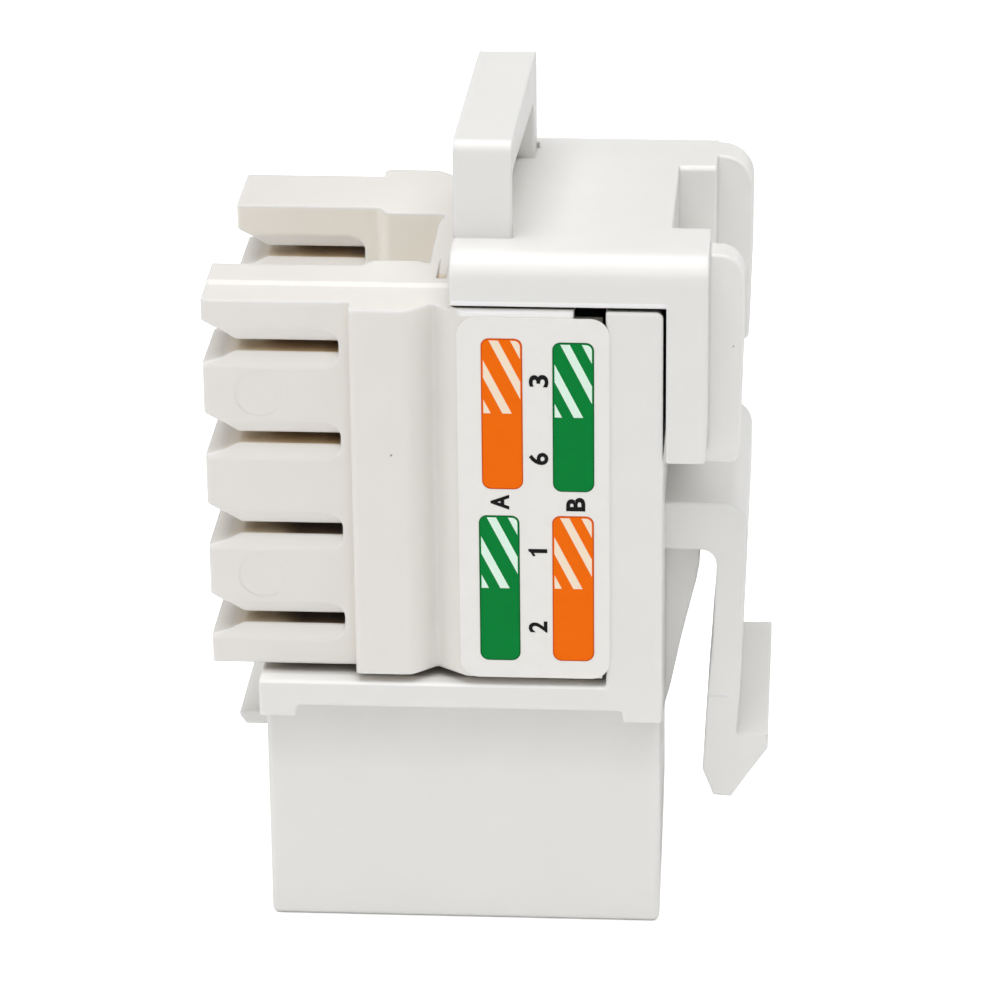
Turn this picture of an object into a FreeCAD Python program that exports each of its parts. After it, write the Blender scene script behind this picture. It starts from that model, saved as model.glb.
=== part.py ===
import FreeCAD, Part
import os
import math

os.makedirs("parts", exist_ok=True)
V = FreeCAD.Vector

# ----------------------------------------------------------------------------
# Keystone jack, standing on its plug opening.  Millimetres.
# Z = 0 is the front face of the nose, +Z runs back to the cable end,
# +X is the flexible latch, -X the wire towers.
# ----------------------------------------------------------------------------

# nose that goes through the panel
nose_x = 8.05            # half size towards the latch
nose_xf = 7.75           # the same at the far side, where the face leans in
nose_y = 7.25            # half width
nose_r = 0.30
# stop frame behind the panel
body_y = 8.35            # half width of frame, cover and label faces
frame_xl = -8.17
frame_xr = 8.15
pad_z = 9.67             # stop pads
frame_z0 = 10.17
frame_z1 = 11.24
wall_x0 = 5.90           # latch-side wall of the housing
wall_z1 = 27.38
pad_l = -6.70
pad_r = 6.60
# plug cavity
port_y = 5.90
port_x0 = -3.90
port_x1 = 2.80
port_z1 = 11.20
clip1_x = 4.30
clip1_y = 3.15
clip2_x = 6.30
clip2_y = 1.75
cham_x0 = -7.10
cham_y = 4.60
cham_z0 = 0.90
# fixed catch
catch_x = -9.50
catch_y = 4.45
catch_z1 = 8.00
catch_z0 = 7.45
# latch root and arm
latch_y = 5.60
root_z0 = 16.20
root_z1 = 18.25
arm_xi = 10.25
arm_xo = 11.45
hinge_x = 10.85
hinge_z = 15.40
hinge_r = 0.60
hinge_gap = 0.15
gusset_y = 4.60
shoulder_z = 7.95
hook_x = 12.42
# wire termination block
idc_z0 = 11.65
idc_z1 = 27.40
tow_x = -10.12             # tips of the near towers
tow_xf = -10.00            # tips of the far towers
tow_yo = 7.45
tow_yi = 3.50
col_x = -4.20
col_yi = 2.87
chan_x = -1.39
idc_x1 = 5.75
slot_z = [25.315, 21.39, 17.475, 13.54]
slot_h = 0.25
slot_x1 = -4.70
lead_h = 0.855           # half height of a slot's lead-in at the tower face
lead_d = 0.33            # depth of the lead-in
step_y = 5.44            # shallow step across the near towers' tops
step_z = 0.12
blade_y = 5.50
# rear cover
cov_x0 = -0.20
cov_xs = 8.27
cov_x1 = 9.90
cov_z0 = 27.45
cov_z1 = 29.60           # top of the cover at its near edge
cov_zf = 29.20           # and at its far edge
cov_gap = 0.10           # relief along the cover's lower side edges
cov_r = 1.05
strip_z0 = 21.05
lip_x = 11.27
lip_xf = 11.40
lip_yo = 7.00
lip_yo_far = 7.25
lip_yi = 5.35
lip_z1 = 29.34
lip_zf = 29.25
lip_r = 1.00
lip_rf = 1.35
notch_x = 8.35
notch_yn = -4.40
notch_yf = 3.70
notch_z = 25.60
# tab on the cover
tab_x1 = 2.12
tab_y = 6.00
tab_xf = 2.34
tab_x0f = 0.00
tab_yf = 6.20
tab_z1 = 33.50
# board and wires
pcb_x0 = 4.50
pcb_x1 = 5.50
wire_r = 0.225
pitch = 1.016
wire_y = [(i - 3.5) * pitch for i in range(8)]
leg_x = -5.85
bend_r = 0.50
bend_x = leg_x + bend_r
bend_z = 2.20
arm_tilt = 22.0
arm_len = 8.00
# labels
lab_x0 = 0.05
lab_x1 = 6.05
lab_z0 = 11.65
lab_z1 = 27.10
lab_t = 0.08
lab_r = 0.75


def box(x0, x1, y0, y1, z0, z1):
    return Part.makeBox(x1 - x0, y1 - y0, z1 - z0, V(x0, y0, z0))


def outline(pts):
    """Closed outline in 2D from (a, b) or (a, b, radius): list of segments."""
    n = len(pts)
    p = [(q[0], q[1], q[2] if len(q) > 2 else 0.0) for q in pts]
    cuts = []
    for i in range(n):
        a, b, r = p[i]
        if r <= 0:
            cuts.append(((a, b), None, (a, b)))
            continue
        pa, pb = p[i - 1][0], p[i - 1][1]
        na, nb = p[(i + 1) % n][0], p[(i + 1) % n][1]
        d0 = math.hypot(pa - a, pb - b)
        d1 = math.hypot(na - a, nb - b)
        u0 = ((pa - a) / d0, (pb - b) / d0)
        u1 = ((na - a) / d1, (nb - b) / d1)
        cosv = max(-1.0, min(1.0, u0[0] * u1[0] + u0[1] * u1[1]))
        ang = math.acos(cosv)
        t = r / math.tan(ang / 2)
        s = (a + u0[0] * t, b + u0[1] * t)
        e = (a + u1[0] * t, b + u1[1] * t)
        bis = (u0[0] + u1[0], u0[1] + u1[1])
        bl = math.hypot(bis[0], bis[1])
        h = r / math.sin(ang / 2)
        c = (a + bis[0] / bl * h, b + bis[1] / bl * h)
        m = (c[0] - bis[0] / bl * r, c[1] - bis[1] / bl * r)
        cuts.append((s, m, e))
    return cuts


def prism(plane, pts, lo, hi):
    """Extrude a 2D outline; plane 'xz' along Y, 'xy' along Z, 'yz' along X."""
    def w(q):
        if plane == "xz":
            return V(q[0], lo, q[1])
        if plane == "xy":
            return V(q[0], q[1], lo)
        return V(lo, q[0], q[1])
    cuts = outline(pts)
    n = len(cuts)
    edges = []
    for i in range(n):
        s, m, e = cuts[i]
        if m is not None:
            edges.append(Part.Arc(w(s), w(m), w(e)).toShape())
        q = cuts[(i + 1) % n][0]
        if math.hypot(q[0] - e[0], q[1] - e[1]) > 1e-6:
            edges.append(Part.LineSegment(w(e), w(q)).toShape())
    face = Part.Face(Part.Wire(edges))
    d = {"xz": V(0, hi - lo, 0), "xy": V(0, 0, hi - lo), "yz": V(hi - lo, 0, 0)}[plane]
    return face.extrude(d)


def ycyl(x, z, r, y0, y1):
    return Part.makeCylinder(r, y1 - y0, V(x, y0, z), V(0, 1, 0))


def xcyl(y, z, r, x0, x1):
    return Part.makeCylinder(r, x1 - x0, V(x0, y, z), V(1, 0, 0))


def on_plane(shape, axis, values, tol=1e-3):
    """Edges that lie wholly in one of the given planes."""
    out = []
    for e in shape.Edges:
        b = e.BoundBox
        lo = (b.XMin, b.YMin, b.ZMin)[axis]
        hi = (b.XMax, b.YMax, b.ZMax)[axis]
        for v in values:
            if abs(lo - v) < tol and abs(hi - v) < tol:
                out.append(e)
                break
    return out


def mirror_y(shape):
    return shape.mirror(V(0, 0, 0), V(0, 1, 0))


def one(shape):
    s = shape.removeSplitter()
    if len(s.Solids) == 1:
        return s.Solids[0]
    return s


nodes = {}

# ----------------------------------------------------------------------------
# front housing: nose, stop frame, latch-side wall, fixed catch, latch root
# ----------------------------------------------------------------------------
nose = prism("xy", [(-nose_x, -nose_y), (nose_x, -nose_y), (nose_xf, nose_y), (-nose_x, nose_y)], 0, frame_z0 + 0.3)
vert = [e for e in nose.Edges if abs(e.BoundBox.ZMax - e.BoundBox.ZMin) > 5]
nose = nose.makeFillet(nose_r, vert + on_plane(nose, 2, [0.0]))

frame_pts = [
    (frame_xl, pad_z, 0.12), (pad_l, pad_z, 0.12), (pad_l + 0.06, frame_z0, 0.15),
    (pad_r - 0.06, frame_z0, 0.15), (pad_r, pad_z, 0.12), (frame_xr, pad_z, 0.12),
    (frame_xr, wall_z1, 0.30), (wall_x0, wall_z1, 0.12), (wall_x0, frame_z1, 0.15),
    (frame_xl, frame_z1, 0.12)]
frame = prism("xz", frame_pts, -body_y, body_y)
frame = frame.makeFillet(0.12, on_plane(frame, 1, [-body_y, body_y]))

catch = prism("xz", [(-nose_x + 0.3, catch_z1), (catch_x, catch_z1, 0.05), (catch_x, catch_z1 - 0.18, 0.05),
                     (catch_x + 0.27, catch_z0, 0.08), (-nose_x + 0.3, catch_z0)], -catch_y, catch_y)

root = prism("xz", [(frame_xr - 0.3, root_z0), (arm_xi, root_z0, 0.65), (arm_xi, hinge_z),
                    (arm_xo, hinge_z), (arm_xo, root_z1, 1.0), (frame_xr - 0.3, root_z1)],
             -latch_y, latch_y)
root = root.cut(ycyl(hinge_x, hinge_z, hinge_r + hinge_gap, -latch_y - 1, latch_y + 1))
gusset = prism("xz", [(frame_xr - 0.3, root_z0 + 0.2), (9.55, root_z0 + 0.2), (9.53, 15.1), (9.42, 14.45),
                      (9.31, 14.0), (9.04, 12.85), (8.79, 11.75), (8.52, 10.4), (8.38, 9.70),
                      (8.02, 8.30), (7.70, 8.30)], -gusset_y, gusset_y)

housing = nose.fuse([frame, catch, root, gusset])

# plug cavity with the clip channel, and the chamber for the contact wires
port_r = 0.2
cav = box(port_x0, port_x1, -port_y, port_y, -1, port_z1 + 1)
cav = cav.fuse([box(port_x1 - 0.5, clip1_x, -clip1_y, clip1_y, -1, 8.6),
                box(clip1_x - 0.5, clip2_x, -clip2_y, clip2_y, -1, 3.2),
                box(cham_x0, port_x0 + 0.5, -cham_y, cham_y, cham_z0, port_z1 + 1),
                box(cham_x0, clip1_x + 0.1, -port_y, port_y, 10.35, port_z1 + 1)])
# ledges that hold the plug's clip
cav = cav.fuse([box(port_x1 - 0.5, clip1_x, -clip1_y, clip1_y, 0.0, 8.6)])
clip_ledges = [box(port_x1, clip1_x, -clip1_y, -clip2_y, 0.0, 1.6),
               box(port_x1, clip1_x, clip2_y, clip1_y, 0.0, 1.6)]
# pocket in the inner face of the latch-side wall
pocket = box(wall_x0 - 1, 7.0, -7.2, 7.2, 12.2, 26.5)
housing = housing.cut([cav, pocket])
housing = housing.fuse(clip_ledges)
nodes["front_housing"] = one(housing)

# ----------------------------------------------------------------------------
# latch arm with its hook
# ----------------------------------------------------------------------------
arm = prism("xz", [(arm_xi, hinge_z), (10.12, 12.05, 8.0), (9.90, 9.03, 8.0), (9.84, 7.90, 3.0), (9.74, 6.37, 0.3),
                   (10.19, 5.18, 0.10), (10.92, 5.12, 0.10), (11.77, 6.41, 2.0),
                   (hook_x, 7.36, 0.12), (hook_x, shoulder_z, 0.06), (11.11, shoulder_z, 0.12),
                   (11.29, 10.50, 8.0), (11.38, 13.10, 8.0), (arm_xo, hinge_z)], -latch_y, latch_y)
arm = arm.fuse(ycyl(hinge_x, hinge_z, hinge_r, -latch_y, latch_y))
nodes["latch_arm"] = one(arm)

# ----------------------------------------------------------------------------
# rear cover
# ----------------------------------------------------------------------------
plate = prism("yz", [(-body_y + 0.35, cov_z0 - 0.02), (-body_y + 0.30, cov_z0 + cov_gap), (-body_y, cov_z0 + cov_gap, 0.06),
                     (-body_y, cov_z1, cov_r), (body_y, cov_zf, cov_r), (body_y, cov_z0 + cov_gap, 0.06),
                     (body_y - 0.30, cov_z0 + cov_gap), (body_y - 0.35, cov_z0 - 0.02)], cov_x0, cov_x1)
side = prism("xz", [(cov_xs, strip_z0, 0.1), (cov_x1 - 0.06, strip_z0, 0.15), (cov_x1, strip_z0 + 1.35),
                    (cov_x1, cov_z0 + 0.2), (cov_xs, cov_z0 + 0.2)], -body_y, body_y)
lips = []
for y0, y1, x1, z0, z1, rr, soft in ((-lip_yo, -lip_yi, lip_x, strip_z0 - 0.45, lip_z1, lip_r, {-lip_yo: 0.08, -lip_yi: 0.35}),
                                 (lip_yi, lip_yo_far, lip_xf, strip_z0, lip_zf, lip_rf, {lip_yi: 0.08, lip_yo_far: 0.12})):
    lip = prism("xz", [(cov_x1 - 0.4, z0), (x1 - 0.12, z0, 0.40), (x1, 25.2), (x1, z1, rr),
                       (cov_x1 - 0.4, z1)], y0, y1)
    for face, rad in soft.items():
        rim = [e for e in on_plane(lip, 1, [face]) if e.BoundBox.XMax > cov_x1 + 0.2]
        lip = lip.makeFillet(rad, rim)
    lips.append(lip)


def top_z(y):
    """Height of the cover's top, which falls slightly towards the far side."""
    return cov_z1 + (cov_zf - cov_z1) * (y + body_y) / (2 * body_y)


tab = prism("xy", [(cov_x0, -tab_y), (tab_x1, -tab_y), (tab_xf, tab_yf), (tab_x0f, tab_yf)], cov_zf - 0.3, tab_z1)
tab_top = [e for e in on_plane(tab, 2, [tab_z1])
           if e.BoundBox.YMax - e.BoundBox.YMin < 1e-3]
tab = tab.makeFillet(0.45, tab_top)
tab_pocket = prism("yz", [(-5.75, top_z(-5.75)), (-5.75, 32.25, 0.5), (4.60, 31.75, 0.4), (4.60, top_z(4.60))],
                   tab_x1 - 0.55, tab_xf + 0.4)
foot = box(tab_xf - 0.15, tab_xf + 0.12, 6.02, tab_yf, cov_zf - 0.2, top_z(tab_yf) + 0.22)
cover = plate.fuse([side] + lips + [tab.cut(tab_pocket), foot])
cover = cover.cut([box(notch_x, cov_x1 + 0.1, notch_yn, notch_yf, notch_z, cov_z1 + 0.1),
                   prism("yz", [(notch_yf - 0.1, top_z(notch_yf) - 0.16), (notch_yf, top_z(notch_yf) - 0.16),
                                (notch_yf + 0.16, top_z(notch_yf) + 0.02), (notch_yf - 0.1, top_z(notch_yf) + 0.02)],
                         notch_x, cov_x1 + 0.1),
                   box(0.9, 7.4, -7.2, 7.2, cov_z0 - 1, 28.4)])
nodes["rear_cover"] = one(cover)

# ----------------------------------------------------------------------------
# wire termination block
# ----------------------------------------------------------------------------
half = [(tow_x, -tow_yi, 0.10), (tow_x, -tow_yo, 0.12), (col_x, -tow_yo, 0.08), (col_x, -body_y, 0.22),
        (-1.95, -body_y, 0.5), (-0.95, -7.45, 0.15), (0.30, -body_y, 0.3), (idc_x1, -body_y, 0.05)]
other = [(tow_xf if q[0] == tow_x else q[0], -q[1], q[2]) for q in reversed(half)]
inner = [(-4.05, tow_yi, 0.25), (-3.75, col_yi, 0.25), (-1.20, col_yi, 0.3), (-1.42, 1.60, 1.5),
         (chan_x, -3.25, 0.12), (-1.95, -col_yi, 0.3), (-3.75, -col_yi, 0.25), (-4.05, -tow_yi, 0.25)]
block = prism("xy", half + other + inner, idc_z0, idc_z1)


def lead_wire(zc, y, x_end, half_h, length):
    """Outline of a slot's lead-in at one depth: open at the tip, rounded at the end."""
    n = 5
    q = []
    for k in range(n + 1):
        t = math.radians(90.0 * k / n)
        q.append((x_end - length + length * math.sin(t), slot_h - 0.01 + (half_h - slot_h + 0.01) * math.cos(t)))
    pts = [V(tow_x - 0.4, y, zc + half_h)] + [V(a, y, zc + b) for a, b in q]
    pts += [V(a, y, zc - b) for a, b in reversed(q)] + [V(tow_x - 0.4, y, zc - half_h)]
    return Part.makePolygon(pts + [pts[0]])


cuts = []
for zc in slot_z:
    prof = [(tow_x - 0.2, zc + 1.29), (tow_x, zc + 1.155), (-9.35, zc + 0.72), (-8.80, zc + slot_h, 0.3),
            (slot_x1, zc + slot_h, 0.10), (slot_x1, zc - slot_h, 0.10), (-8.80, zc - slot_h, 0.3),
            (-9.35, zc - 0.50), (tow_x, zc - 0.70), (tow_x - 0.2, zc - 0.77)]
    cuts.append(prism("xz", prof, -9.0, -2.4))
    cuts.append(prism("xz", prof, 2.4, 9.0))
    for face, into in ((-tow_yo, 1), (-tow_yi, -1), (tow_yi, 1), (tow_yo, -1)):
        over = 0.03
        grow = (lead_h - slot_h) * over / lead_d
        cuts.append(Part.makeLoft([lead_wire(zc, face - into * over, slot_x1 + 0.02, lead_h + grow, 0.77),
                                   lead_wire(zc, face + into * lead_d, slot_x1 - 0.02, slot_h - 0.005, 0.73)], True, True))
    for sy in (-1, 1):
        y0, y1 = sorted((sy * (blade_y - 0.33), sy * (blade_y + 0.33)))
        cuts.append(box(-8.6, -1.6, y0, y1, zc - 1.28, zc + 1.28))
        cuts.append(box(-1.7, 0.4, y0, y1, zc - 0.52, zc + 0.52))
cuts.append(box(0.3, idc_x1 + 0.1, -7.3, 7.3, idc_z0 - 0.1, 26.9))
cuts.append(box(4.64, idc_x1 + 0.1, -body_y - 0.1, body_y + 0.1, 26.8, idc_z1 + 0.1))
# shallow scoop beside the cover's edge, deepest at its near end
cuts.append(prism("yz", [(-4.84, idc_z1 + 0.1), (-4.84, idc_z1 - 0.30, 0.05), (-2.45, idc_z1), (-2.45, idc_z1 + 0.1)], -1.02, -0.62))
# bevels along the top side edges under the cover
for sy in (-1, 1):
    cuts.append(prism("yz", [(sy * (body_y + 0.1), idc_z1 - 0.24), (sy * (body_y + 0.1), idc_z1 + 0.1), (sy * (body_y - 0.24), idc_z1 + 0.1)],
                      cov_x0, idc_x1 + 0.1))
cuts.append(prism("yz", [(-step_y, idc_z1 + 0.1), (-step_y, idc_z1), (-step_y - 0.14, idc_z1 - step_z),
                         (-9.0, idc_z1 - step_z), (-9.0, idc_z1 + 0.1)], tow_x - 0.1, cov_x0))
for sy in (-1, 1):
    for x, z in ((-7.90, 23.40), (-7.96, 15.55)):
        y0, y1 = sorted((sy * (tow_yo - 0.02), sy * (tow_yo + 0.1)))
        cuts.append(ycyl(x, z, 0.98, y0, y1))
block = block.cut(cuts)
nodes["idc_block"] = one(block)

# ----------------------------------------------------------------------------
# circuit board
# ----------------------------------------------------------------------------
board = box(pcb_x0, pcb_x1, -7.2, 7.2, 12.25, 26.6)
holes = [xcyl(y, 12.9 + (0.0 if i % 2 == 0 else 1.0), 0.32, pcb_x0 - 0.1, pcb_x1 + 0.1) for i, y in enumerate(wire_y)]
for zc in slot_z:
    for sy in (-1, 1):
        y0, y1 = sorted((sy * (blade_y - 0.3), sy * (blade_y + 0.3)))
        holes.append(box(pcb_x0 - 0.1, pcb_x1 + 0.1, y0, y1, zc - 0.5, zc + 0.5))
nodes["circuit_board"] = one(board.cut(holes))

# ----------------------------------------------------------------------------
# contact carrier
# ----------------------------------------------------------------------------
carrier = box(-7.0, 4.3, -5.8, 5.8, 10.45, 11.50).fuse(box(-7.0, -6.2, -4.5, 4.5, 0.95, 10.6))
ribs = [box(-6.3, -5.45, k * pitch - 0.14, k * pitch + 0.14, 0.95, 10.6) for k in range(-4, 5)]
carrier = carrier.fuse(ribs)
grooves = []
for y in wire_y:
    grooves.append(box(-6.2, 3.0, y - 0.3, y + 0.3, 10.65, 11.22))
    grooves.append(box(3.0, 3.8, y - 0.3, y + 0.3, 10.65, 11.6))
    grooves.append(box(-6.2, -5.5, y - 0.3, y + 0.3, 10.3, 11.22))
nodes["contact_carrier"] = one(carrier.cut(grooves))


def pipe(pts, r, first, first_dir):
    """Round wire along a rounded path in an XZ plane at constant Y."""
    edges = []
    for k in range(len(pts)):
        edges.append(pts[k])
    wire = Part.Wire(edges)
    prof = Part.Wire([Part.makeCircle(r, first, first_dir)])
    return wire.makePipeShell([prof], True, True)


ca = math.cos(math.radians(arm_tilt))
sa = math.sin(math.radians(arm_tilt))
for i, y in enumerate(wire_y):
    pz = 12.9 + (0.0 if i % 2 == 0 else 1.0)
    rb = 0.5
    lx = 3.45
    lz = 10.95
    q = math.sqrt(0.5)
    seg = [
        Part.LineSegment(V(6.0, y, pz), V(lx + rb, y, pz)).toShape(),
        Part.Arc(V(lx + rb, y, pz), V(lx + rb - rb * q, y, pz - rb + rb * q), V(lx, y, pz - rb)).toShape(),
        Part.LineSegment(V(lx, y, pz - rb), V(lx, y, lz + rb)).toShape(),
        Part.Arc(V(lx, y, lz + rb), V(lx - rb + rb * q, y, lz + rb - rb * q), V(lx - rb, y, lz)).toShape(),
        Part.LineSegment(V(lx - rb, y, lz), V(leg_x + rb, y, lz)).toShape(),
        Part.Arc(V(leg_x + rb, y, lz), V(leg_x + rb - rb * q, y, lz - rb + rb * q), V(leg_x, y, lz - rb)).toShape(),
        Part.LineSegment(V(leg_x, y, lz - rb), V(leg_x, y, bend_z)).toShape(),
        Part.Arc(V(leg_x, y, bend_z),
                 V(bend_x - bend_r * math.cos(math.radians(40)), y, bend_z - bend_r * math.sin(math.radians(40))),
                 V(bend_x - bend_r * math.cos(math.radians(80)), y, bend_z - bend_r * math.sin(math.radians(80)))).toShape(),
    ]
    nodes["spring_contact_root_%d" % (i + 1)] = pipe(seg, wire_r, V(6.0, y, pz), V(-1, 0, 0))
    a0 = math.radians(90)
    a1 = math.radians(180 - arm_tilt)
    am = 0.5 * (a0 + a1)

    def on_bend(a):
        return V(bend_x - bend_r * math.cos(a), y, bend_z - bend_r * math.sin(a))
    p0 = on_bend(a0)
    p1 = on_bend(a1)
    p2 = V(p1.x + sa * arm_len, y, p1.z + ca * arm_len)
    seg = [Part.Arc(p0, on_bend(am), p1).toShape(), Part.LineSegment(p1, p2).toShape()]
    nodes["spring_contact_%d" % (i + 1)] = pipe(seg, wire_r, p0, V(1, 0, 0))

# ----------------------------------------------------------------------------
# insulation-displacement blades: 1-4 in the near row, 5-8 in the far row
# ----------------------------------------------------------------------------
k = 0
for sy in (-1, 1):
    for zc in slot_z:
        k += 1
        y = sy * blade_y
        prof = [(-8.3, zc + 1.12, 0.1), (-8.3, zc + 0.45), (-7.6, zc + 0.14), (-4.3, zc + 0.14, 0.13), (-4.3, zc - 0.14, 0.13),
                (-7.6, zc - 0.14), (-8.3, zc - 0.45), (-8.3, zc - 1.12, 0.1), (-1.75, zc - 1.12), (-1.75, zc - 0.4),
                (6.0, zc - 0.4, 0.1), (6.0, zc + 0.4, 0.1), (-1.75, zc + 0.4), (-1.75, zc + 1.12)]
        nodes["idc_contact_%d" % k] = prism("xz", prof, y - 0.2, y + 0.2)

# ----------------------------------------------------------------------------
# colour-code labels
# ----------------------------------------------------------------------------
lab = [(lab_x0, lab_z0, lab_r), (lab_x1, lab_z0, lab_r), (lab_x1, lab_z1, lab_r), (lab_x0, lab_z1, lab_r)]
nodes["label_near"] = prism("xz", lab, -body_y - lab_t, -body_y)
nodes["label_far"] = prism("xz", lab, body_y, body_y + lab_t)

for name in sorted(nodes):
    s = nodes[name]
    ok = s.isValid() and len(s.Solids) == 1 and s.Volume > 0
    b = s.BoundBox
    print("%-24s %s solids %d vol %.2f  x %.2f..%.2f y %.2f..%.2f z %.2f..%.2f" % (
        name, "ok " if ok else "BAD", len(s.Solids), s.Volume, b.XMin, b.XMax, b.YMin, b.YMax, b.ZMin, b.ZMax))
    s.exportStep("parts/%s.step" % name)
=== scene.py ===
import math

import bmesh
import bpy
from mathutils import Matrix, Vector

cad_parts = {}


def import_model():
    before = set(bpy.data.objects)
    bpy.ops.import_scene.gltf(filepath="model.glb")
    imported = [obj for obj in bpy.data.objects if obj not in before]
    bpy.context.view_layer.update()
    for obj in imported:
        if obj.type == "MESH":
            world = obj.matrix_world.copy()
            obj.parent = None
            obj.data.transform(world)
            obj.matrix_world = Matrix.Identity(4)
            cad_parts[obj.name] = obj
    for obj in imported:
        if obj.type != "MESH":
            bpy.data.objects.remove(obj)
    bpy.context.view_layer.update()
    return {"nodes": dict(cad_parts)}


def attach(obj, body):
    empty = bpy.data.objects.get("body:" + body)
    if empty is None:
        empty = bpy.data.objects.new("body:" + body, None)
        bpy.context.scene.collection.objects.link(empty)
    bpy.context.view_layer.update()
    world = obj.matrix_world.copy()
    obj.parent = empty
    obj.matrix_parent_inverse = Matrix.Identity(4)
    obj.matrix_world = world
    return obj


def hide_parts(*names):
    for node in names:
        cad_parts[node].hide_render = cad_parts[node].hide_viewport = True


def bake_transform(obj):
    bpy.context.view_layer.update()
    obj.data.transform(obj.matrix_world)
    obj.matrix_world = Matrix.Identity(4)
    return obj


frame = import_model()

MM = 0.001
NODES = frame["nodes"]

# ----------------------------------------------------------------------------
# light strengths
# ----------------------------------------------------------------------------
WORLD = 0.02             # even light from all round
TOP = 1.2                # soft box overhead, W
FRONT = 0.05              # large soft box in front, W
LEFT = 0.54
RIGHT = 0.41
BACK = 0.02
KEY = 0.4               # soft box above and in front, for the upper front edges
RIM = 0.25               # low strip behind, for the far edges
UNDER = 0.9              # below the floor, reaches only the nose's front face
FLOOR_GLOW = 0.08        # the floor passes on light of its own, like a lit table
FLOOR_SEEN = 0.80        # how bright that glow looks


# ----------------------------------------------------------------------------
# camera
# ----------------------------------------------------------------------------
def make_camera():
    data = bpy.data.cameras.new("camera")
    cam = bpy.data.objects.new("camera", data)
    bpy.context.scene.collection.objects.link(cam)
    right = Vector((0.998608, 0.052685, -0.002648))
    up = Vector((-0.017799, 0.383780, 0.923253))
    back = right.cross(up)
    cam.location = Vector((14.1000, -176.6326, 90.7535)) * MM
    cam.rotation_mode = "QUATERNION"
    cam.rotation_quaternion = Matrix((right, up, back)).transposed().to_quaternion()
    data.sensor_width = 36.0
    data.lens = 166.28
    data.shift_x = -0.08394
    data.shift_y = -0.02776
    data.clip_start = 0.01
    data.clip_end = 50.0
    bpy.context.scene.camera = cam


make_camera()


# ----------------------------------------------------------------------------
# materials
# ----------------------------------------------------------------------------
class Nodes:
    """A small helper that builds one node material."""

    def __init__(self, name):
        self.mat = bpy.data.materials.new(name)
        self.mat.use_nodes = True
        self.t = self.mat.node_tree
        self.t.nodes.clear()
        self.out = self.add("ShaderNodeOutputMaterial")
        self.bsdf = self.add("ShaderNodeBsdfPrincipled")
        self.link(self.bsdf, "BSDF", self.out, "Surface")
        self.coord = self.add("ShaderNodeTexCoord")

    def add(self, kind, **props):
        n = self.t.nodes.new(kind)
        for k, v in props.items():
            setattr(n, k, v)
        return n

    def link(self, a, ao, b, bi):
        self.t.links.new(a.outputs[ao], b.inputs[bi])

    def noise(self, scale, detail=3.0, rough=0.5, stretch=None):
        n = self.add("ShaderNodeTexNoise")
        n.inputs["Scale"].default_value = scale
        n.inputs["Detail"].default_value = detail
        n.inputs["Roughness"].default_value = rough
        if stretch:
            m = self.add("ShaderNodeMapping")
            m.inputs["Scale"].default_value = stretch
            self.link(self.coord, "Object", m, "Vector")
            self.link(m, "Vector", n, "Vector")
        else:
            self.link(self.coord, "Object", n, "Vector")
        return n

    def ramp(self, source, output, stops):
        r = self.add("ShaderNodeValToRGB")
        e = r.color_ramp.elements
        while len(e) < len(stops):
            e.new(0.5)
        for el, (p, c) in zip(e, stops):
            el.position = p
            el.color = (*c, 1.0) if len(c) == 3 else c
        self.link(source, output, r, "Fac")
        return r

    def span(self, source, output, lo, hi, to_lo, to_hi):
        m = self.add("ShaderNodeMapRange")
        m.inputs["From Min"].default_value = lo
        m.inputs["From Max"].default_value = hi
        m.inputs["To Min"].default_value = to_lo
        m.inputs["To Max"].default_value = to_hi
        self.link(source, output, m, "Value")
        return m

    def multiply(self, a, ao, b, bo, fac=1.0):
        m = self.add("ShaderNodeMix", data_type="RGBA", blend_type="MULTIPLY")
        m.inputs[0].default_value = fac
        self.t.links.new(a.outputs[ao], m.inputs[6])
        self.t.links.new(b.outputs[bo], m.inputs[7])
        return m

    def calc(self, op, a, b):
        """Math on two inputs, each a (node, output) pair or a number."""
        n = self.add("ShaderNodeMath", operation=op)
        for i, v in enumerate((a, b)):
            if isinstance(v, tuple):
                self.link(v[0], v[1], n, i)
            else:
                n.inputs[i].default_value = v
        return (n, "Value")

    def window(self, source, lo, hi, soft):
        """1 between lo and hi (mm) with soft flanks, 0 outside; None leaves a side open."""
        out = None
        for limit, a, b in ((lo, 0.0, 1.0), (hi, 1.0, 0.0)):
            if limit is None:
                continue
            s = self.span(source[0], source[1], (limit - soft) * MM, (limit + soft) * MM, a, b)
            out = (s, "Result") if out is None else self.calc("MULTIPLY", out, (s, "Result"))
        return out

    def region(self, windows):
        """Product of windows on X, Y, Z or S (distance from the middle plane)."""
        if not hasattr(self, "axes"):
            sep = self.add("ShaderNodeSeparateXYZ")
            self.link(self.coord, "Object", sep, "Vector")
            self.axes = {k: (sep, k) for k in "XYZ"}
            self.axes["S"] = self.calc("ABSOLUTE", (sep, "Y"), 0.0)
        out = None
        for axis, lo, hi, soft in windows:
            w = self.window(self.axes[axis], lo, hi, soft)
            out = w if out is None else self.calc("MULTIPLY", out, w)
        return out

    def blend(self, last, colour, mask, strength=1.0, kind="MIX"):
        m = self.add("ShaderNodeMix", data_type="RGBA", blend_type=kind)
        f = self.calc("MULTIPLY", mask, strength)
        self.link(f[0], f[1], m, 0)
        self.t.links.new(last[0].outputs[last[1]], m.inputs[6])
        if isinstance(colour[0], float):
            m.inputs[7].default_value = (*colour, 1.0)
        else:
            self.t.links.new(colour[0].outputs[colour[1]], m.inputs[7])
        return (m, 2)


def tint(c, k):
    return tuple(min(1.0, x * k) for x in c)


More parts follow.
